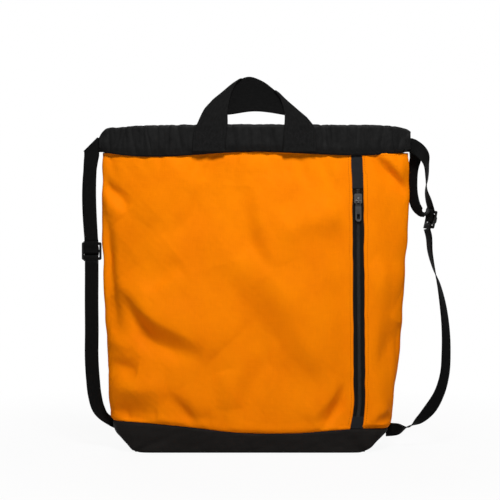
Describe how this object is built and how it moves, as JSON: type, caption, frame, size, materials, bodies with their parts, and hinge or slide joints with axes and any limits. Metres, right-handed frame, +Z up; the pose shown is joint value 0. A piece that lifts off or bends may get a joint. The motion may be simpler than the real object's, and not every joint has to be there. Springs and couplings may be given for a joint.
{
  "type": "drawstring backpack",
  "caption": "Empty soft backpack with a gathered drawstring casing, webbing carry handle, adjustable webbing shoulder straps, zip pocket and boxed base.",
  "frame": {"origin": "middle of the underside of the base, on the surface that the bag stands on", "axes": "+Z up, front of the bag faces -Y, +X to the right of somebody looking at the front"},
  "size_m": [0.5069, 0.1, 0.5045],
  "materials": {
    "orange_polyester": "matte coated polyester weave",
    "black_polyester": "matte coated polyester weave",
    "black_nylon": "gathered nylon with a slight sheen",
    "lining": "thin coated lining",
    "webbing": "ribbed polypropylene webbing",
    "zip_tape": "woven tape",
    "zip_coil": "nylon coil",
    "zip_metal": "gunmetal plated zinc",
    "buckle_plastic": "satin moulded acetal"
  },
  "bodies": {
    "bag": {"front_main_panel": "orange_polyester", "front_side_panel": "orange_polyester", "back_panel": "orange_polyester", "base_panel": "black_polyester", "front_casing": "black_nylon", "back_casing": "black_nylon", "pocket_bag": "lining", "zip_top_cover": "black_polyester", "zip_bottom_cover": "black_polyester", "zip_tape_left": "zip_tape", "zip_tape_right": "zip_tape", "zip_coil_left": "zip_coil", "zip_coil_right": "zip_coil", "left_strap_channel": "webbing", "right_strap_channel": "webbing", "handle_end_left": "webbing", "handle_end_right": "webbing", "handle_flex": "webbing", "left_strap_exit_front": "webbing", "left_strap_exit_back": "webbing", "left_strap_upper_front": "webbing", "left_strap_upper_back": "webbing", "left_strap_lower": "webbing", "left_strap_anchor": "webbing", "right_strap_exit_front": "webbing", "right_strap_exit_back": "webbing", "right_strap_upper_front": "webbing", "right_strap_upper_back": "webbing", "right_strap_lower": "webbing", "right_strap_anchor": "webbing"},
    "zip_slider": {"zip_slider_body": "zip_metal", "zip_slider_bail": "zip_metal"},
    "zip_pull": {"zip_pull": "zip_metal"},
    "handle": {"handle_loop": "webbing"},
    "left_slider": {"left_buckle": "buckle_plastic", "left_strap_woven": "webbing", "left_strap_sewn_loop": "webbing"},
    "right_slider": {"right_buckle": "buckle_plastic", "right_strap_woven": "webbing", "right_strap_sewn_loop": "webbing"}
  },
  "joints": [
    {"name": "zip_slide", "type": "slide", "parent": "bag", "child": "zip_slider", "axis": [0, -0.0912, -0.9958], "range_m": [0, 0.283]},
    {"name": "pull_swing", "type": "hinge", "parent": "zip_slider", "child": "zip_pull", "pos_m": [0.1465, -0.02059, 0.33632], "axis": [-1, 0, 0], "range_deg": [0, 170]},
    {"name": "handle_fold", "type": "hinge", "parent": "bag", "child": "handle", "pos_m": [0.00635, -0.02064, 0.442], "axis": [1, 0, 0], "range_deg": [-80, 150], "deforming": ["handle_flex"]},
    {"name": "left_slider_slide", "type": "slide", "parent": "bag", "child": "left_slider", "axis": [0, 0, 1], "range_m": [-0.13, 0.09], "deforming": ["left_strap_upper_front", "left_strap_upper_back", "left_strap_lower"]},
    {"name": "right_slider_slide", "type": "slide", "parent": "bag", "child": "right_slider", "axis": [0.2079, 0, 0.9781], "range_m": [-0.03, 0.012], "deforming": ["right_strap_upper_front", "right_strap_upper_back", "right_strap_lower"]}
  ]
}
